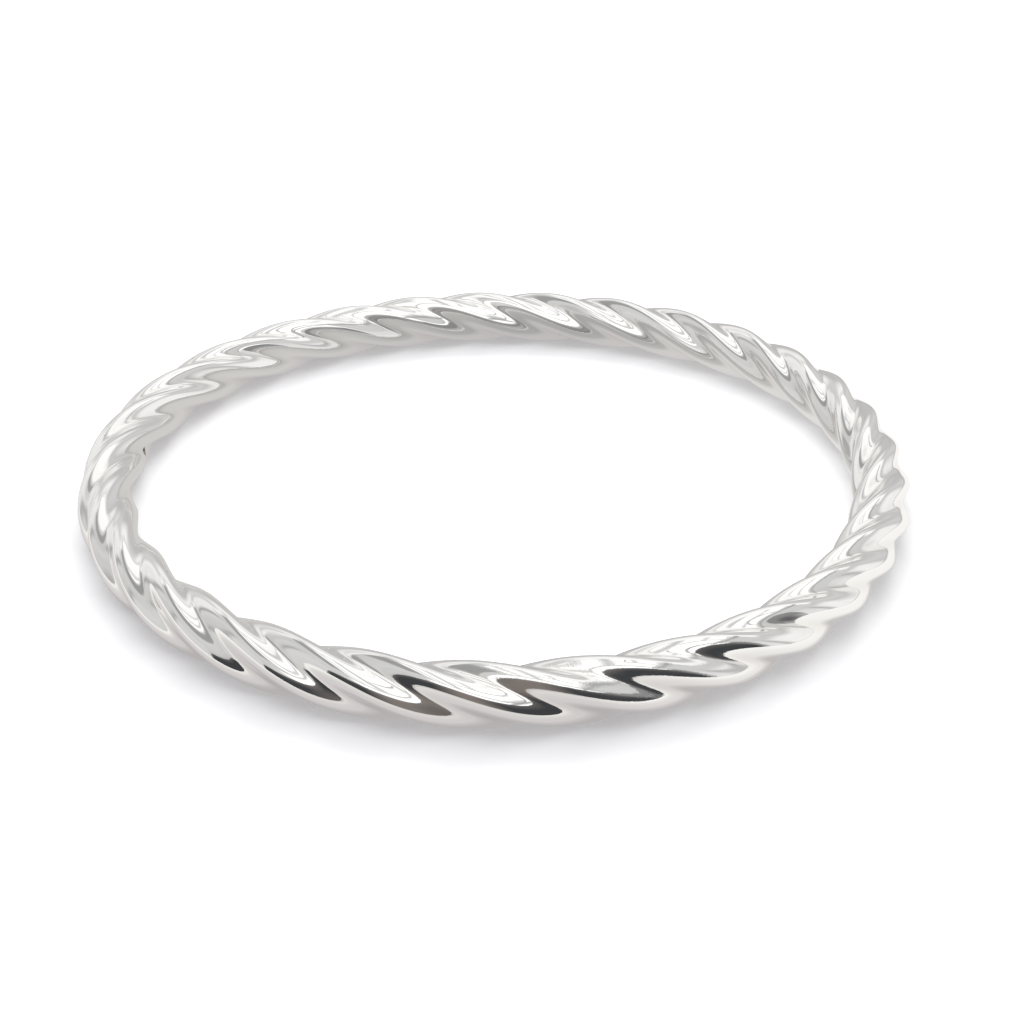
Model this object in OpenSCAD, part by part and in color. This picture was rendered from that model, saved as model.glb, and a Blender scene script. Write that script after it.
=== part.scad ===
// Twisted wire bangle: one thick wire of bright metal with four rounded ridges along it, wound
// tight, bent to a ring and soldered shut, with no clasp. Millimetres, +Z up. The bangle lies on
// its side, and the origin is on the surface under it, below the middle of the ring.

/* [Ring] */
// Width of the clear opening for the hand
inner_d = 62; // [50:0.5:80]
// Thickness of the twisted wire over its ridges
wire_d = 4.9; // [3:0.1:8]

/* [Twist] */
// Ridges on the wire
strands = 4; // [3:1:6]
// Ridges that pass the outside of the ring on one walk round it
ridges = 29; // [16:1:40]
// Depth of a groove between two ridges, as a share of the wire's radius
groove_depth = 0.25; // [0.05:0.01:0.35]
// How softly the bottom of a groove is rounded: a low value makes it a crease
groove_softness = 0.7; // [0.3:0.1:3]
// Place of the first ridge, as an angle up from straight out, at the right of the ring
first_ridge = 46; // [0:1:90]

/* [Made by hand] */
// How uneven the twist is: 0 is even all round, and 1 is as this wire was wound
twist_by_hand = 1; // [0:0.1:1.5]
// How far the ring is drawn out into three soft corners
corners = 0.32; // [0:0.01:1.5]
// Direction of the first soft corner
corners_at = 38; // [0:1:120]

/* [Pit] */
// Width of the small round pit on the inside of the ring
pit_d = 0.5; // [0.3:0.05:1]
// Depth of the pit
pit_depth = 0.4; // [0.2:0.05:0.8]
// Place of the pit round the ring
pit_at = 172; // [0:0.5:360]
// Place of the pit round the wire, as an angle up from straight out
pit_turn = 188; // [0:1:360]

/* [Hidden] */

wire_r = wire_d / 2;
ring_r = inner_d / 2 + wire_r;

// A wire wound by hand turns a little ahead of an even twist in some places and lags in others.
// Each row is one wave of that: how often it swings on one walk round the ring, how many degrees
// it turns the wire ahead at most, and the place of its first peak.
swings = 0;
ahead = 1;
peak_at = 2;
twist_waves = [
    [1, 29, 284],
    [2, 3.3, 75],
    [3, 2.7, 77],
    [4, 1.7, 6]
];

// The skin has one section every two degrees, and eight points across each ridge, so that lines
// of points run along the ridges and grooves
sections = 180;
ridge_points = 8;
section_points = strands * ridge_points;

// Distance from the ring's axis to the middle of the wire, at angle a round the ring
function centre_r(a) = ring_r + corners * cos(3 * (a - corners_at));

// How far the wire has turned about its own middle, at angle a round the ring
function wave(w, a) = w[ahead] * cos(w[swings] * (a - w[peak_at]));
function sum(list, i = 0) = i < len(list) ? list[i] + sum(list, i + 1) : 0;
function wire_turn(a) =
    first_ridge - a * ridges / strands
    + twist_by_hand * sum([for (w = twist_waves) wave(w, a)]);

// Height of the skin between two ridges, from 0 in the groove to 1 on a ridge, at angle t from a
// ridge. The ridges are rounder than the grooves between them.
function rounded(x) = sqrt(x * x + groove_softness * groove_softness) - groove_softness;
function ridge_height(t) = rounded(cos(strands * t / 2)) / rounded(1);

// Radius of the twisted wire at angle t from a ridge
function wire_edge_r(t) = wire_r * (1 - groove_depth * (1 - ridge_height(t)));

// A point at distance r from the middle of the wire, at angle up from straight out
function ring_point(a, r, up) =
    let (out = centre_r(a) + r * cos(up))
    [out * cos(a), out * sin(a), r * sin(up)];

function skin_point(i, j) =
    let (a = i * 360 / sections, t = j * 360 / section_points)
    ring_point(a, wire_edge_r(t), wire_turn(a) + t);

skin_points = [for (i = [0:sections - 1]) for (j = [0:section_points - 1]) skin_point(i, j)];

// The closing section meets the first one several ridges further round the wire
function corner(i, j) =
    let (seam = i == sections ? ridges * ridge_points : 0)
    let (k = (j - seam) % section_points)
    (i % sections) * section_points + (k + section_points) % section_points;

skin_faces = [
    for (i = [0:sections - 1])
        for (j = [0:section_points - 1])
            for (face = [
                [corner(i, j), corner(i + 1, j + 1), corner(i + 1, j)],
                [corner(i, j), corner(i, j + 1), corner(i + 1, j + 1)]
            ])
                face
];

// Offset that puts the middle of the ring over the origin and its lowest ridge on the surface
function low(axis) = min([for (p = skin_points) p[axis]]);
function high(axis) = max([for (p = skin_points) p[axis]]);
to_origin = [-(low(0) + high(0)) / 2, -(low(1) + high(1)) / 2, -low(2)];

// A drill for the pit, which enters square to the wire
module pit_drill() {
    skin_r = wire_edge_r(pit_turn - wire_turn(pit_at));
    translate(ring_point(pit_at, skin_r, pit_turn))
        rotate([0, 0, pit_at])
            rotate([0, 90 - pit_turn, 0])
                translate([0, 0, -pit_depth])
                    cylinder(h = 2 * pit_depth, d = pit_d, $fn = 24);
}

module twisted_ring() {
    color("silver")
        translate(to_origin)
            difference() {
                polyhedron(points = skin_points, faces = skin_faces, convexity = 8);
                pit_drill();
            }
}

twisted_ring();
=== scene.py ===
# %% [markdown]
# A twisted wire bangle, finished around its CAD model.
#
# The bangle is one thick silver wire with four rounded ridges along it. The maker twists the wire
# until the ridges wind round it like the strands of a rope, bends it to a ring, solders the ends
# and polishes everything bright. It has no clasp: it slips over the hand.
#
# The CAD model gives its place and size, so it is loaded first and stays a fixed frame. Lengths
# are in metres unless a comment says millimetres, +Z is up, and the bangle lies on the floor at
# z = 0.

# %% Load the frame
import math

import bmesh
import bpy
from mathutils import Matrix, Vector


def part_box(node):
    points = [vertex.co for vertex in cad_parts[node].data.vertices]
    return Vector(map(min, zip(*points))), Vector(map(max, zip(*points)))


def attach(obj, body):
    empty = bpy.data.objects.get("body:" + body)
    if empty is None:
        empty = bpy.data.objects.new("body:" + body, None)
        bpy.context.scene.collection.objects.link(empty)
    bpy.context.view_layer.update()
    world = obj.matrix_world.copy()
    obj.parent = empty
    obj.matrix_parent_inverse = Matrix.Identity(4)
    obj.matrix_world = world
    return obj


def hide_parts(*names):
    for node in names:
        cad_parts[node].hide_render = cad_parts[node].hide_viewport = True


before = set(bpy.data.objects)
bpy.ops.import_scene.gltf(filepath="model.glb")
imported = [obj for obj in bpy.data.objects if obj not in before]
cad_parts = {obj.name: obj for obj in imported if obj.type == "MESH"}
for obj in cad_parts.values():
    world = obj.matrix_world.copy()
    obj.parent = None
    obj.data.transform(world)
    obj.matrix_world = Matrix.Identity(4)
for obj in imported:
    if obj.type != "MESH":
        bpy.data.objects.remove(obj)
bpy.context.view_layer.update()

MM = 0.001
ring_low, ring_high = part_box("twisted_ring")
print("frame box, mm:", [round(side / MM, 2) for side in ring_high - ring_low])

# %% [markdown]
# The driving sizes of the wire. They are the same as in the CAD model, so that the smooth ring
# made here has its ridges exactly where the solid has them. A wire that is wound by hand turns a
# little ahead of an even twist in some places and lags in others, and each row of the table is
# one wave of that.

# %% Sizes of the twisted wire
wire_radius = (ring_high.z - ring_low.z) / 2
inner_radius = 31 * MM
ring_radius = inner_radius + wire_radius
ridges_on_wire = 4
ridges_round_ring = 29
groove_depth = 0.25
groove_softness = 0.7
first_ridge = math.radians(46)
corner_reach = 0.32 * MM
corner_at = math.radians(38)
TWIST_WAVES = (
    # swings round the ring, most degrees ahead, degrees to the first peak
    (1, 29, 284),
    (2, 3.3, 75),
    (3, 2.7, 77),
    (4, 1.7, 6),
)
print("wire, mm:", round(2 * wire_radius / MM, 2), "ring, mm:", round(2 * ring_radius / MM, 2))

# %% [markdown]
# Helpers for node trees. Geometry Nodes, materials and the world are all trees of nodes with
# sockets, so a few short functions serve all three. They set or link a socket, add a node with
# all that goes into it, add a math node, and add up several values. Linking every node by hand
# would take several lines for each of the 300 or so below.

# %% Helpers for node trees
def feed(tree, socket, value):
    """Links value to a socket if it is another node's output, and else sets it."""
    if isinstance(value, bpy.types.NodeSocket):
        tree.links.new(value, socket)
    else:
        socket.default_value = value


def add_node(tree, kind, inputs=None, **settings):
    """Adds a node, with settings for its menus and inputs by name or number."""
    made = tree.nodes.new(kind)
    for name, value in settings.items():
        setattr(made, name, value)
    for name, value in (inputs or {}).items():
        feed(tree, made.inputs[name], value)
    row, column = divmod(len(tree.nodes), 12)
    made.location = (column * 180, -row * 260)
    return made


def calc(tree, operation, *values):
    """Adds a math node and returns its output."""
    return add_node(tree, "ShaderNodeMath", dict(enumerate(values)), operation=operation).outputs[0]


def add_all(tree, values):
    """Adds several values together."""
    total = values[0]
    for value in values[1:]:
        total = calc(tree, "ADD", total, value)
    return total


# %% [markdown]
# The twisted ring. It could be swept: a four-lobed outline carried round a circle and turned on
# the way. But 29 ridges on a wire of four mean that the wire has turned seven and a quarter times
# when it meets its own start, and a sweep would tear there. So a flat grid is rolled up instead.
# One side of the grid runs round the ring and the other round the wire, every point is placed by
# the same formula as in the CAD model, and points that meet at the two seams are merged.
#
# The tree starts with one named input for each size, so that the same tree could make a wider
# bangle or one of finer wire.

# %% Inputs of the ring tree
def tree_input(tree, name, kind, value=None):
    """Adds a named input to a tree, with its value where it has one."""
    socket = tree.interface.new_socket(name, in_out="INPUT", socket_type=kind)
    if value is not None:
        socket.default_value = value


def start_ring_tree():
    """Starts the tree, with an input for each size of the ring and one for its finish."""
    tree = bpy.data.node_groups.new("Twisted ring", "GeometryNodeTree")
    tree.interface.new_socket("Geometry", in_out="OUTPUT", socket_type="NodeSocketGeometry")
    tree_input(tree, "Sections", "NodeSocketInt", 12)
    tree_input(tree, "Section Points", "NodeSocketInt", 12)
    for name in ("Ring Radius", "Wire Radius", "Ridges On Wire", "Ridges Round Ring", "Groove Depth",
                 "Groove Softness", "First Ridge", "Corner Reach", "Corner At"):
        tree_input(tree, name, "NodeSocketFloat", 0.0)
    for swings, _, _ in TWIST_WAVES:
        tree_input(tree, f"Wave {swings} Ahead", "NodeSocketFloat", 0.0)
        tree_input(tree, f"Wave {swings} Peak", "NodeSocketFloat", 0.0)
    tree_input(tree, "Finish", "NodeSocketMaterial")
    return tree


# %% [markdown]
# Two formulas give the wire its form. The first says how far the wire has turned about its own
# middle at each place round the ring: an even twist, and on it the slow waves of the maker's
# hands. The second says how deep in a groove the skin lies at each place round the wire. It is a
# cosine without its sign, which makes round ridges with a sharp crease between them, and the
# crease is then softened, as the polishing wheel does.

# %% Formulas of the twisted wire
def wire_turn(tree, size, around):
    """How far the wire has turned about its own middle."""
    turns = calc(tree, "DIVIDE", size["Ridges Round Ring"], size["Ridges On Wire"])
    even_twist = calc(tree, "SUBTRACT", size["First Ridge"], calc(tree, "MULTIPLY", around, turns))
    waves = []
    for swings, _, _ in TWIST_WAVES:
        past_peak = calc(tree, "SUBTRACT", around, size[f"Wave {swings} Peak"])
        swing = calc(tree, "COSINE", calc(tree, "MULTIPLY", past_peak, swings))
        waves.append(calc(tree, "MULTIPLY", swing, size[f"Wave {swings} Ahead"]))
    return add_all(tree, [even_twist, *waves])


def rounded(tree, value, softness):
    """The size of a value, with its sharp turn at 0 rounded off."""
    value_squared = calc(tree, "MULTIPLY", value, value)
    softness_squared = calc(tree, "MULTIPLY", softness, softness)
    length = calc(tree, "SQRT", calc(tree, "ADD", value_squared, softness_squared))
    return calc(tree, "SUBTRACT", length, softness)


def depth_in_groove(tree, size, across):
    """How deep in a groove the skin lies, from 0 on a ridge to 1 at the bottom."""
    half_turn = calc(tree, "MULTIPLY", calc(tree, "MULTIPLY", across, size["Ridges On Wire"]), 0.5)
    ridge = rounded(tree, calc(tree, "COSINE", half_turn), size["Groove Softness"])
    highest = rounded(tree, 1.0, size["Groove Softness"])
    return calc(tree, "SUBTRACT", 1, calc(tree, "DIVIDE", ridge, highest))


# %% [markdown]
# The tree itself. Each point of the grid gets its place on the ring, and the depth in the groove
# is stored on the points, because the finish needs it later. Three soft corners are added to the
# circle of the ring, since a ring that is closed by hand is never quite round.

# %% Geometry Nodes tree for the twisted ring
corners_of_ring = 3
seam_gap = 0.002 * MM


def skin_point(tree, size, around, across, groove):
    """The place of a point of the skin."""
    shrink = calc(tree, "MULTIPLY", groove, size["Groove Depth"])
    reach = calc(tree, "MULTIPLY", size["Wire Radius"], calc(tree, "SUBTRACT", 1, shrink))
    past_corner = calc(tree, "SUBTRACT", around, size["Corner At"])
    corner = calc(tree, "COSINE", calc(tree, "MULTIPLY", past_corner, corners_of_ring))
    middle = calc(tree, "ADD", size["Ring Radius"], calc(tree, "MULTIPLY", corner, size["Corner Reach"]))
    up = calc(tree, "ADD", wire_turn(tree, size, around), across)
    out = calc(tree, "ADD", middle, calc(tree, "MULTIPLY", reach, calc(tree, "COSINE", up)))
    return add_node(tree, "ShaderNodeCombineXYZ", {
        "X": calc(tree, "MULTIPLY", out, calc(tree, "COSINE", around)),
        "Y": calc(tree, "MULTIPLY", out, calc(tree, "SINE", around)),
        "Z": calc(tree, "MULTIPLY", reach, calc(tree, "SINE", up)),
    }).outputs[0]


def build_ring_tree():
    """Rolls a flat grid up into the twisted ring."""
    tree = start_ring_tree()
    size = add_node(tree, "NodeGroupInput").outputs
    body = add_node(tree, "GeometryNodeMeshGrid", {
        "Size X": 1.0,
        "Size Y": 1.0,
        "Vertices X": calc(tree, "ADD", size["Sections"], 1),
        "Vertices Y": calc(tree, "ADD", size["Section Points"], 1),
    }).outputs["Mesh"]
    place = add_node(tree, "GeometryNodeInputPosition").outputs[0]
    flat = add_node(tree, "ShaderNodeSeparateXYZ", {0: place}).outputs
    around = calc(tree, "MULTIPLY", calc(tree, "ADD", flat["X"], 0.5), math.tau)
    across = calc(tree, "MULTIPLY", calc(tree, "ADD", flat["Y"], 0.5), math.tau)
    groove = depth_in_groove(tree, size, across)
    for kind, inputs in (
        ("GeometryNodeStoreNamedAttribute", {"Name": "groove", "Value": groove}),
        ("GeometryNodeSetPosition", {"Position": skin_point(tree, size, around, across, groove)}),
        ("GeometryNodeMergeByDistance", {"Distance": seam_gap}),
        ("GeometryNodeSetShadeSmooth", {}),
        ("GeometryNodeRealizeInstances", {}),
        ("GeometryNodeSetMaterial", {"Material": size["Finish"]}),
    ):
        body = add_node(tree, kind, {"Geometry": body, **inputs}).outputs[0]
    add_node(tree, "NodeGroupOutput", {"Geometry": body})
    return tree


ring_tree = build_ring_tree()
print("ring tree nodes:", len(ring_tree.nodes))

# %% [markdown]
# Polished silver. Silver is the whitest metal and reflects nearly everything, so what the eye
# reads as its colour is the room around it. A perfect mirror looks like plastic chrome, though.
# Worn silver has a trace of old polish in the grooves, dark specks, hair-fine scratches and
# patches of fine grain. A painted image could show them, but patterns made by nodes stay sharp
# close up. All of them are small changes of colour, roughness and relief over one metal shader,
# and the next cells make them one at a time.
#
# The patterns are made on Object coordinates, which are in metres, so a scale of 90 gives about
# 90 spots to a metre.

# %% Helpers for patterns and colours
def noise(tree, vector, scale, detail=2.0, roughness=0.5):
    """A noise pattern on the given coordinates, from 0 to 1."""
    return add_node(tree, "ShaderNodeTexNoise", {
        "Vector": vector, "Scale": scale, "Detail": detail, "Roughness": roughness,
    }).outputs[0]


def remap(tree, value, low, high, new_low, new_high):
    """Carries low..high over to new_low..new_high, and stops at both ends."""
    return add_node(tree, "ShaderNodeMapRange", {
        "Value": value, "From Min": low, "From Max": high, "To Min": new_low, "To Max": new_high,
    }).outputs[0]


def blend(tree, factor, first, second):
    """Mixes two colours, each given as numbers or as another node's output."""
    ends = [(*colour, 1.0) if isinstance(colour, tuple) else colour for colour in (first, second)]
    mix = add_node(tree, "ShaderNodeMix", {"Factor": factor, "A": ends[0], "B": ends[1]}, data_type="RGBA")
    return mix.outputs["Result"]


# %% [markdown]
# The colour of the silver. The bare metal is nearly white. In the grooves, where the polishing
# wheel doesn't reach, a thin film of old polish makes it a little duller and warmer, more in some
# places than in others. Dark specks are dots in a pattern of uneven cells, and fewer than one
# cell in five has one. The pit and the silver just round it are darker, by a value that is stored
# on their own points.

# %% Colour of the silver
bare_silver = (0.955, 0.95, 0.94)
filmed_silver = (0.83, 0.81, 0.785)
# The colour of the dark specks, laid over the silver
speck_dark = (0.30, 0.27, 0.24)
# The colour of the silver in and just round the pit, which is darker there
pit_dark = (0.30, 0.28, 0.25)
film_patches = 90.0
speck_cells = 420.0
film_strength = 0.5
speck_strength = 0.6


def groove_film(tree, here):
    """How much old polish lies on the silver, from 0 to 1."""
    groove = add_node(tree, "ShaderNodeAttribute", attribute_name="groove").outputs["Fac"]
    patches = remap(tree, noise(tree, here, film_patches, 3.0), 0.35, 0.7, 0.3, 1.0)
    return calc(tree, "MULTIPLY", remap(tree, groove, 0.55, 1.0, 0.0, 1.0), patches)


def dark_specks(tree, here):
    """1 on a few small round specks, and 0 elsewhere."""
    dots = add_node(tree, "ShaderNodeTexVoronoi", {"Vector": here, "Scale": speck_cells}).outputs
    lot = add_node(tree, "ShaderNodeSeparateColor", {0: dots["Color"]}).outputs[0]
    chosen = remap(tree, lot, 0.80, 0.84, 0.0, 1.0)
    return calc(tree, "MULTIPLY", chosen, remap(tree, dots["Distance"], 0.025, 0.055, 1.0, 0.0))


def silver_colour(tree, film, speck):
    """The base colour, with its film, specks and pit."""
    colour = blend(tree, calc(tree, "MULTIPLY", film, film_strength), bare_silver, filmed_silver)
    colour = blend(tree, calc(tree, "MULTIPLY", speck, speck_strength), colour, speck_dark)
    pit = add_node(tree, "ShaderNodeAttribute", attribute_name="pit").outputs["Fac"]
    return blend(tree, pit, colour, pit_dark)


# %% [markdown]
# The roughness of the silver. A polished face is nearly a perfect mirror. Smears from handling,
# the film in the grooves, patches of grain and the specks each make it a little rougher, and the
# four are simply added up.

# %% Roughness of the silver
smears = 900.0
cleanest, most_smeared = 0.02, 0.07
film_roughness = 0.06
grain_roughness = 0.05
speck_roughness = 0.3


def silver_roughness(tree, here, film, speck, grain_place):
    """The roughness, as the sum of what roughens the metal."""
    smear = remap(tree, noise(tree, here, smears, 4.0, 0.6), 0.4, 0.75, cleanest, most_smeared)
    return add_all(tree, [
        smear,
        calc(tree, "MULTIPLY", film, film_roughness),
        calc(tree, "MULTIPLY", grain_place, grain_roughness),
        calc(tree, "MULTIPLY", speck, speck_roughness),
    ])


# %% [markdown]
# The relief of the silver, a few thousandths of a millimetre deep at most. It has a faint ripple
# from the polishing wheel, fine grain in patches, and scratches along the wire. The scratches are
# a noise that is squeezed across the wire and drawn out along it. Its coordinates are the distance
# from the ring's axis, the height, and the place itself at a coarse scale, so that it has no seam.

# %% Relief of the silver
ripples = 700.0
ripple_depth = 0.0015 * MM
grain_patches = 70.0
grains = 7000.0
grain_depth = 0.0045 * MM
scratches_across = 9000.0
scratches_along = 500.0
scratch_depth = 0.0008 * MM


def scratches(tree, here):
    """1 in a scratch along the wire, and 0 elsewhere."""
    spot = add_node(tree, "ShaderNodeSeparateXYZ", {0: here}).outputs
    squares = [calc(tree, "MULTIPLY", spot[axis], spot[axis]) for axis in ("X", "Y")]
    out = calc(tree, "SQRT", add_all(tree, squares))
    along_wire = add_node(tree, "ShaderNodeCombineXYZ", {
        "X": calc(tree, "MULTIPLY", out, scratches_across),
        "Y": calc(tree, "MULTIPLY", spot["Z"], scratches_across),
        "Z": calc(tree, "MULTIPLY", spot["X"], scratches_along),
    }).outputs[0]
    streaks = add_node(tree, "ShaderNodeTexNoise", {
        "Vector": along_wire,
        "W": calc(tree, "MULTIPLY", spot["Y"], scratches_along),
        "Scale": 1.0,
        "Detail": 2.0,
    }, noise_dimensions="4D").outputs["Fac"]
    return remap(tree, streaks, 0.60, 0.75, 0.0, 1.0)


def emboss(tree, height, depth, under=None, sunk=False):
    """Adds a layer of relief, over the one under it, and returns the new normal."""
    inputs = {"Height": height, "Distance": depth, "Strength": 1.0}
    if under is not None:
        inputs["Normal"] = under
    return add_node(tree, "ShaderNodeBump", inputs, invert=sunk).outputs[0]


def silver_relief(tree, here, grain_place):
    """The ripple, with the grain and the scratches over it."""
    grain = calc(tree, "MULTIPLY", noise(tree, here, grains, 2.0), grain_place)
    relief = emboss(tree, noise(tree, here, ripples, 1.0), ripple_depth)
    relief = emboss(tree, grain, grain_depth, relief)
    return emboss(tree, scratches(tree, here), scratch_depth, relief, sunk=True)


# %% [markdown]
# The material puts the three together on one Principled shader, which is all metal. The film,
# the specks and the patches of grain are each worked out once, because the roughness has to
# follow the same places as the colour and the relief.

# %% Polished silver
def build_silver():
    """Puts the colour, the roughness and the relief on one metal shader."""
    silver = bpy.data.materials.new("polished_silver")
    silver.use_nodes = True
    tree = silver.node_tree
    shader = tree.nodes["Principled BSDF"]
    shader.inputs["Metallic"].default_value = 1.0
    here = add_node(tree, "ShaderNodeTexCoord").outputs["Object"]
    film = groove_film(tree, here)
    speck = dark_specks(tree, here)
    grain_place = remap(tree, noise(tree, here, grain_patches, 2.0), 0.50, 0.62, 0.0, 1.0)
    feed(tree, shader.inputs["Base Color"], silver_colour(tree, film, speck))
    feed(tree, shader.inputs["Roughness"], silver_roughness(tree, here, film, speck, grain_place))
    feed(tree, shader.inputs["Normal"], silver_relief(tree, here, grain_place))
    return silver


polished_silver = build_silver()
print("silver nodes:", len(polished_silver.node_tree.nodes))

# %% [markdown]
# The ring is made by giving the tree its sizes and evaluating it once. The result is kept as a
# plain mesh, and the modifier goes.

# %% Make the ring
ring_values = {
    "Sections": 1160,
    "Section Points": 80,
    "Ring Radius": ring_radius,
    "Wire Radius": wire_radius,
    "Ridges On Wire": float(ridges_on_wire),
    "Ridges Round Ring": float(ridges_round_ring),
    "Groove Depth": groove_depth,
    "Groove Softness": groove_softness,
    "First Ridge": first_ridge,
    "Corner Reach": corner_reach,
    "Corner At": corner_at,
    "Finish": polished_silver,
}
for swings, ahead, peak in TWIST_WAVES:
    ring_values[f"Wave {swings} Ahead"] = math.radians(ahead)
    ring_values[f"Wave {swings} Peak"] = math.radians(peak)


def tree_object(name, tree, values):
    """Evaluates a tree with the given input values, and returns the result as a plain object."""
    carrier = bpy.data.objects.new(name + "_tree", bpy.data.meshes.new(name + "_tree"))
    bpy.context.scene.collection.objects.link(carrier)
    modifier = carrier.modifiers.new("Tree", "NODES")
    modifier.node_group = tree
    sockets = {item.name: item.identifier for item in tree.interface.items_tree if item.in_out == "INPUT"}
    for label, value in values.items():
        modifier[sockets[label]] = value
    view = bpy.context.evaluated_depsgraph_get()
    mesh = bpy.data.meshes.new_from_object(carrier.evaluated_get(view), depsgraph=view)
    mesh.name = name
    bpy.data.objects.remove(carrier)
    made = bpy.data.objects.new(name, mesh)
    bpy.context.scene.collection.objects.link(made)
    return made


bangle = tree_object("twisted_wire_ring", ring_tree, ring_values)
print("faces:", len(bangle.data.polygons))

# %% [markdown]
# The CAD solid has flat facets, which leave it up to 0.04 mm narrower than the true curve, so
# the smooth ring is drawn in by that much to lie exactly in the frame's box. The sizes of the
# wire could be made smaller instead, but then they would no longer be those of the CAD model.

# %% Fit the ring to the frame's box
def fit_to_box(mesh, low, high):
    """Moves and scales a mesh so that its box is the given one, and returns the scale."""
    corners = [vertex.co for vertex in mesh.vertices]
    mesh_low = Vector([min(corner[axis] for corner in corners) for axis in range(3)])
    mesh_high = Vector([max(corner[axis] for corner in corners) for axis in range(3)])
    scale = [(high[axis] - low[axis]) / (mesh_high[axis] - mesh_low[axis]) for axis in range(3)]
    mesh.transform(
        Matrix.Translation((low + high) / 2)
        @ Matrix.Diagonal((*scale, 1.0))
        @ Matrix.Translation(-(mesh_low + mesh_high) / 2)
    )
    return scale


drawn_in = fit_to_box(bangle.data, ring_low, ring_high)
print("drawn in to:", [round(factor, 5) for factor in drawn_in])

# %% [markdown]
# One blemish of the real wire is kept: a round pit half a millimetre wide in a groove on the
# inside of the ring, such as a gas bubble or a speck of dirt leaves in drawn wire. A dark dot in
# the material would look flat from the side, so the pit is a true hollow. The faces near it are
# divided finely, and then its points are pressed straight into the wire, with a soft lip. They
# also store how much darker the silver is in and just round the pit, for its colour.

# %% Press in the pit
pit_place = Vector((-31.34, 4.71, 2.19)) * MM
pit_radius = 0.25 * MM
pit_depth = 0.4 * MM
into_wire = Vector((-0.981, 0.138, 0.139)).normalized()

# The next values are multiples of the pit's radius
finer_within = (3.2, 2.4, 1.8)
farthest_point = 2.2
lip_edge, lip_width = 1.15, 0.4
dark_edge, dark_width = 1.9, 0.7


def press_in(mesh, place, direction, radius, depth):
    """Presses a round pit with a soft lip into a mesh, and returns how many points it moved."""
    shape = bmesh.new()
    shape.from_mesh(mesh)
    # How much darker the silver is at each point near the pit, for its colour
    darkness = shape.verts.layers.float.new("pit")
    for reach in finer_within:
        near = [edge for edge in shape.edges if (edge.verts[0].co - place).length < reach * radius]
        bmesh.ops.subdivide_edges(shape, edges=near, cuts=1, use_grid_fill=True)
    moved = 0
    for vertex in shape.verts:
        offset = vertex.co - place
        if offset.length >= farthest_point * radius:
            continue
        aside = (offset - offset.dot(direction) * direction).length / radius
        lip = max(0.0, min(1.0, (lip_edge - aside) / lip_width))
        vertex.co += direction * depth * lip * lip * (3 - 2 * lip)
        vertex[darkness] = max(0.0, min(1.0, (dark_edge - aside) / dark_width))
        moved += lip > 0
    shape.to_mesh(mesh)
    shape.free()
    return moved


moved_points = press_in(bangle.data, pit_place, into_wire, pit_radius, pit_depth)
print("points pressed in:", moved_points, "faces:", len(bangle.data.polygons))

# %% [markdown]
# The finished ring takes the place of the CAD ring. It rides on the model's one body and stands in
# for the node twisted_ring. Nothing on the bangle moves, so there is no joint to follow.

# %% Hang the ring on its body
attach(bangle, "root")
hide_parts("twisted_ring")
print(bangle.name, "stands in for twisted_ring")

# %% [markdown]
# The floor is a sheet of pale card under the bangle. A camera sees it as white card with a soft
# shadow. A faint glow of its own keeps that shadow pale, as light from all round a white room
# does.

# %% Floor card
floor_side = 3.0
fibres = 400.0
fibre_grey = (0.90, 0.90, 0.91)
card_white = (0.95, 0.95, 0.955)


def lay_floor(side, material):
    """Lays a level square card with its middle at the origin."""
    mesh = bpy.data.meshes.new("floor")
    corners = [(x * side / 2, y * side / 2, 0) for x, y in ((-1, -1), (1, -1), (1, 1), (-1, 1))]
    mesh.from_pydata(corners, [], [(0, 1, 2, 3)])
    mesh.materials.append(material)
    card = bpy.data.objects.new("floor", mesh)
    bpy.context.scene.collection.objects.link(card)


def build_pale_card():
    """White card with faint fibres, as the camera sees it."""
    card = bpy.data.materials.new("pale_card")
    card.use_nodes = True
    tree = card.node_tree
    shader = tree.nodes["Principled BSDF"]
    shader.inputs["Roughness"].default_value = 0.6
    shader.inputs["Specular IOR Level"].default_value = 0.2
    shader.inputs["Emission Color"].default_value = (0.97, 0.97, 1.0, 1.0)
    shader.inputs["Emission Strength"].default_value = 0.12
    here = add_node(tree, "ShaderNodeTexCoord").outputs["Object"]
    colour = blend(tree, noise(tree, here, fibres, 3.0), fibre_grey, card_white)
    feed(tree, shader.inputs["Base Color"], colour)
    return card


pale_card = build_pale_card()
lay_floor(floor_side, pale_card)
print("floor, m:", floor_side)

# %% [markdown]
# A mirror sees the floor from very low, so what the silver shows of it is set by itself, for
# glossy rays only. It is greyer inside the ring, right under the wire and close round it, where
# the bangle shades it. It is greyer again far in front and far behind, and brightest at the
# right.

# %% The floor in the mirror
close_round_ring = (0.66, 0.635, 0.635)
open_floor = (0.92, 0.905, 0.86)
far_in_front = (0.56, 0.545, 0.545)
far_to_sides = (0.93, 0.925, 0.91)
at_right = (0.99, 0.975, 0.95)
far_behind = (0.50, 0.495, 0.49)
middle_of_ring = (0.42, 0.415, 0.41)
sides_of_ring = (0.64, 0.63, 0.61)
under_wire = (0.37, 0.355, 0.36)


def fade(tree, value, start, stop, most=1.0):
    """Rises from 0 at start to most at stop, which are both in millimetres."""
    return remap(tree, value, start * MM, stop * MM, 0.0, most)


def glow_for_mirrors(material, colour):
    """Shows a colour of its own to glossy rays, and the plain material to all others."""
    tree = material.node_tree
    glow = add_node(tree, "ShaderNodeEmission", {"Color": colour})
    mirrored = add_node(tree, "ShaderNodeLightPath").outputs["Is Glossy Ray"]
    plain = tree.nodes["Principled BSDF"].outputs[0]
    both = add_node(tree, "ShaderNodeMixShader", {0: mirrored, 1: plain, 2: glow.outputs[0]})
    feed(tree, tree.nodes["Material Output"].inputs["Surface"], both.outputs[0])
    material.cycles.emission_sampling = "NONE"


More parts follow.
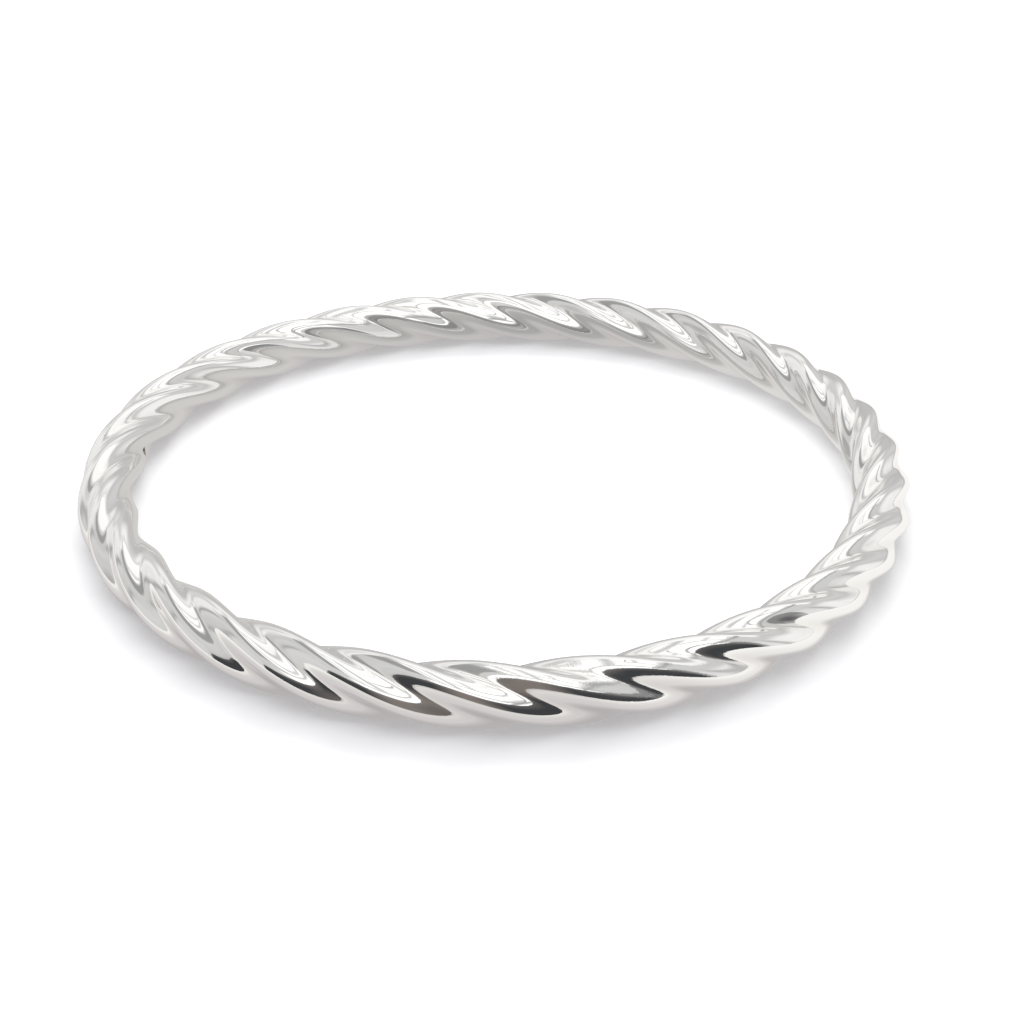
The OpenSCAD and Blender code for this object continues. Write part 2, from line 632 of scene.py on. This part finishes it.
def distance_from(tree, value, middle):
    """How far a value is from a middle in millimetres, to either side."""
    return calc(tree, "ABSOLUTE", calc(tree, "SUBTRACT", value, middle * MM))


def floor_in_mirror(tree):
    """The colour of the floor as the silver shows it, each shade laid over those before it."""
    here = add_node(tree, "ShaderNodeTexCoord").outputs["Object"]
    spot = add_node(tree, "ShaderNodeSeparateXYZ", {0: here}).outputs
    out = add_node(tree, "ShaderNodeVectorMath", {0: here}, operation="LENGTH").outputs["Value"]
    off_middle = distance_from(tree, spot["X"], 0)
    off_front = distance_from(tree, spot["X"], -8)
    off_inside = distance_from(tree, spot["X"], 4)

    seen = blend(tree, fade(tree, out, 38, 60), close_round_ring, open_floor)
    in_front = calc(tree, "MULTIPLY", fade(tree, spot["Y"], -44, -62), fade(tree, off_front, 50, 30))
    seen = blend(tree, in_front, seen, far_in_front)
    seen = blend(tree, fade(tree, off_middle, 30, 90), seen, far_to_sides)
    seen = blend(tree, fade(tree, spot["X"], 8, 30, 0.9), seen, at_right)
    seen = blend(tree, fade(tree, spot["Y"], 30, 60), seen, far_behind)
    inside = blend(tree, fade(tree, off_inside, 4, 26), middle_of_ring, sides_of_ring)
    seen = blend(tree, fade(tree, out, 33, 29), seen, inside)
    below = calc(tree, "MULTIPLY", fade(tree, out, 31, 34, 0.6), fade(tree, out, 37, 35.2))
    return blend(tree, below, seen, under_wire)


glow_for_mirrors(pale_card, floor_in_mirror(pale_card.node_tree))
print("floor nodes:", len(pale_card.node_tree.nodes))

# %% [markdown]
# The studio light. Two large soft boxes light the floor: one straight above, and one above and
# behind, which lays the soft shadow towards the camera. The silver doesn't show them, because
# it gets a room of its own below.

# %% Soft boxes
def soft_box(name, place, width, height, radiance):
    """A rectangular light at place that points at the origin and shows in no mirror."""
    lamp = bpy.data.lights.new(name, "AREA")
    lamp.shape = "RECTANGLE"
    lamp.size = width
    lamp.size_y = height
    lamp.energy = radiance * math.pi * width * height
    box = bpy.data.objects.new(name, lamp)
    box.location = place
    box.rotation_euler = (-Vector(place)).to_track_quat("-Z", "Y").to_euler()
    box.visible_camera = False
    box.visible_glossy = False
    bpy.context.scene.collection.objects.link(box)
    print(name, "watts:", round(lamp.energy, 2))


soft_box("box_above", (0, 0.05, 0.60), 0.70, 0.70, 1.1)
soft_box("box_behind", (0.03, 0.42, 0.40), 0.50, 0.30, 3.4)

# %% [markdown]
# A mirror is only as good as the room it shows. The room could be built of real walls and lamps,
# but one that is drawn by direction is easier to change. It has walls that change from side to
# side, and above them a grey ceiling with white panels and darker rails. Each row of the second
# table is drawn over those before it, and the first is the ceiling itself. A row says how far
# across and how far back it reaches for each metre of height over the bangle.

# %% Walls and panels of the room
WALLS = (
    # direction in degrees, 0 is the front and 90 the right; brightness
    (-180, 0.93),
    (-165, 0.92),
    (-152, 0.66),
    (-146, 0.90),
    (-128, 0.84),
    (-122, 0.38),
    (-117, 0.66),
    (-100, 0.62),
    (-94, 0.42),
    (-88, 0.68),
    (-62, 0.70),
    (-52, 0.50),
    (-38, 0.88),
    (-24, 0.46),
    (22, 0.46),
    (34, 0.66),
    (48, 0.40),
    (56, 0.78),
    (80, 0.78),
    (88, 0.46),
    (97, 0.92),
    (122, 0.95),
    (136, 0.60),
    (150, 0.70),
    (160, 0.56),
    (171, 0.93),
)
PANELS = (
    # across from, across to, back from, back to, soft edge, brightness
    (-3.0, 3.0, -3.0, 3.0, 0.10, 0.64),
    (-0.60, 0.85, -1.50, -0.577, 0.04, 1.20),
    (-0.60, 1.30, -0.78, -0.577, 0.04, 1.20),
    (-0.66, -0.39, -0.24, 0.95, 0.03, 0.36),
    (-0.34, -0.08, -0.46, 0.56, 0.03, 1.20),
    (-0.27, -0.21, -0.46, 0.56, 0.02, 0.66),
    (0.02, 0.46, -0.46, 0.62, 0.03, 1.25),
    (0.04, 0.46, 0.00, 0.09, 0.02, 0.56),
    (0.20, 0.26, 0.09, 0.62, 0.02, 0.70),
    (-0.26, 0.90, 0.64, 1.30, 0.06, 1.05),
    (-0.90, -0.42, 1.00, 1.50, 0.08, 0.95),
    (0.53, 0.60, -1.20, 0.95, 0.02, 0.42),
    (0.22, 1.20, -0.56, -0.48, 0.02, 0.42),
)
print("room panels:", len(PANELS), "wall stops:", len(WALLS))

# %% [markdown]
# The walls are a colour ramp over the direction, and each panel is a mask with soft edges. Low
# down at the back the wall is greyer, and between 30 and 38 degrees up the walls give way to the
# ceiling.

# %% Draw the walls and the ceiling
low_wall_behind = (0.56, 0.555, 0.55)


def soft_band(tree, value, low, high, soft):
    """1 between low and high and 0 outside, with soft ends."""
    start = remap(tree, value, low - soft, low + soft, 0.0, 1.0)
    stop = remap(tree, value, high - soft, high + soft, 1.0, 0.0)
    return calc(tree, "MULTIPLY", start, stop)


def wall_colour(tree, axes):
    """The wall in a direction, from the table of walls."""
    front = calc(tree, "MULTIPLY", axes["Y"], -1.0)
    turn = calc(tree, "ARCTAN2", axes["X"], front)
    share = remap(tree, turn, -math.pi, math.pi, 0.0, 1.0)
    ramp = add_node(tree, "ShaderNodeValToRGB", {"Fac": share})
    stops = ramp.color_ramp.elements
    for number, (degrees, bright) in enumerate(WALLS):
        stop = stops[number] if number < 2 else stops.new(1.0)
        stop.position = (degrees + 180) / 360
        stop.color = (bright, bright * 0.995, bright * 0.985, 1.0)
    return ramp.outputs["Color"]


def ceiling_colour(tree, axes, ceiling):
    """The panels of the ceiling, drawn one over another."""
    height = calc(tree, "MAXIMUM", axes["Z"], 0.05)
    across = calc(tree, "DIVIDE", axes["X"], height)
    back = calc(tree, "DIVIDE", axes["Y"], height)
    for left, right, near, far, soft, bright in PANELS:
        mask = calc(tree, "MULTIPLY", soft_band(tree, across, left, right, soft),
                    soft_band(tree, back, near, far, soft))
        ceiling = blend(tree, mask, ceiling, (bright, bright, bright * 0.99))
    return ceiling


def room_colour(tree):
    """The whole room in a direction, a little uneven all over."""
    way = add_node(tree, "ShaderNodeTexCoord").outputs["Generated"]
    axes = add_node(tree, "ShaderNodeSeparateXYZ", {0: way}).outputs
    wall = wall_colour(tree, axes)
    ceiling = ceiling_colour(tree, axes, wall)
    low_back = calc(tree, "MULTIPLY", remap(tree, axes["Y"], 0.80, 0.95, 0.0, 1.0),
                    remap(tree, axes["Z"], 0.26, 0.46, 1.0, 0.0))
    wall = blend(tree, low_back, wall, low_wall_behind)
    room = blend(tree, remap(tree, axes["Z"], 0.50, 0.62, 0.0, 1.0), wall, ceiling)
    uneven = remap(tree, noise(tree, way, 3.0, 3.0), 0.3, 0.7, 0.92, 1.06)
    return add_node(tree, "ShaderNodeVectorMath", {0: room, "Scale": uneven}, operation="SCALE").outputs[0]


# %% [markdown]
# The world shows this room to mirrors alone. Everything else is lit by a plain pale grey, which
# fills in the shadows, and a camera that looks past the floor sees plain white.

# %% The room in the mirror
fill_light = (0.62, 0.62, 0.63)
backdrop = (1.0, 1.0, 1.0)


def build_room():
    """The room for mirrors, the fill light for matt things and the backdrop for the camera."""
    world = bpy.data.worlds.new("studio")
    world.use_nodes = True
    tree = world.node_tree
    rays = add_node(tree, "ShaderNodeLightPath").outputs
    colour = blend(tree, rays["Is Glossy Ray"], fill_light, room_colour(tree))
    colour = blend(tree, rays["Is Camera Ray"], colour, backdrop)
    feed(tree, tree.nodes["Background"].inputs["Color"], colour)
    return world


studio = build_room()
bpy.context.scene.world = studio
print("room nodes:", len(studio.node_tree.nodes))

# %% [markdown]
# A dark card stands in front of the bangle, where only the metal sees it. It draws the dark
# lines that tell the eye that this is a mirror: without it the near side would look like white
# enamel. It could be drawn in the room too, but it is so near that each side of the ring sees it
# in another direction. It is nearly black, with a brown middle, and paler towards its top. Seen
# from the far side of the ring it is grey, as haze and glare wash it out.

# %% Dark card
card_front = -87 * MM
card_black = (0.05, 0.052, 0.056)
card_brown = (0.21, 0.185, 0.17)
card_top = (0.30, 0.28, 0.27)
hazy_foot = (0.43, 0.43, 0.43)
hazy_top = (0.26, 0.26, 0.26)
CARD_OUTLINE = (
    # place across, height
    (-0.120, 0.000),
    (0.152, 0.000),
    (0.158, 0.135),
    (0.122, 0.142),
    (0.088, 0.092),
    (0.052, 0.070),
    (0.010, 0.056),
    (-0.050, 0.058),
    (-0.112, 0.045),
)


def card_colour(tree):
    """The colour of the card as the silver shows it, near and far."""
    here = add_node(tree, "ShaderNodeTexCoord").outputs["Object"]
    spot = add_node(tree, "ShaderNodeSeparateXYZ", {0: here}).outputs
    middle = soft_band(tree, spot["X"], -32 * MM, 5 * MM, 12 * MM)
    dark = blend(tree, middle, card_black, card_brown)
    less_at_right = remap(tree, spot["X"], 0.0, 50 * MM, 0.8, 0.35)
    lift = calc(tree, "MULTIPLY", fade(tree, spot["Z"], 30, 80), less_at_right)
    dark = blend(tree, lift, dark, card_top)
    hazy = blend(tree, fade(tree, spot["Z"], 35, 50), hazy_foot, hazy_top)
    away = add_node(tree, "ShaderNodeLightPath").outputs["Ray Length"]
    return blend(tree, fade(tree, away, 110, 130), dark, hazy)


def build_dark_card():
    """A dark card in front, which only mirrors show."""
    cloth = bpy.data.materials.new("dark_card")
    cloth.use_nodes = True
    glow_for_mirrors(cloth, card_colour(cloth.node_tree))
    mesh = bpy.data.meshes.new("dark_card")
    corners = [(across, card_front, height) for across, height in CARD_OUTLINE]
    mesh.from_pydata(corners, [], [tuple(range(len(corners)))])
    mesh.materials.append(cloth)
    card = bpy.data.objects.new("dark_card", mesh)
    bpy.context.scene.collection.objects.link(card)
    card.visible_camera = False
    card.visible_diffuse = False
    card.visible_shadow = False
    return card


dark_card = build_dark_card()
print("dark card corners:", len(dark_card.data.vertices))

# %% [markdown]
# The camera stands close in front of the bangle, about thirty degrees above the floor. So near,
# the far side of the ring looks clearly smaller than the near side. Colours are shown as they
# are, without a film look, because a white room has to come out white.

# %% Camera
camera_rise = math.radians(29.28)
camera_roll = math.radians(-0.35)
camera_distance = 156.8 * MM
camera_foot = Vector((0.18, 0.28, 0)) * MM
camera_aim = Vector((1.51, -3.13, 0)) * MM


def aim_camera():
    """A camera that looks at the aim, from a place above and in front of the foot."""
    lens = bpy.data.cameras.new("camera")
    lens.sensor_width = 36.0
    lens.lens = 62.5
    lens.clip_start = 1 * MM
    made = bpy.data.objects.new("camera", lens)
    forwards = Vector((0, math.cos(camera_rise), -math.sin(camera_rise)))
    made.location = camera_foot - camera_distance * forwards
    turn = (camera_aim - made.location).to_track_quat("-Z", "Y").to_matrix()
    made.rotation_euler = (turn @ Matrix.Rotation(camera_roll, 3, "Z")).to_euler()
    bpy.context.scene.collection.objects.link(made)
    return made


camera = aim_camera()
bpy.context.scene.camera = camera
bpy.context.scene.view_settings.view_transform = "Standard"
print("camera, mm:", [round(axis / MM, 1) for axis in camera.location])
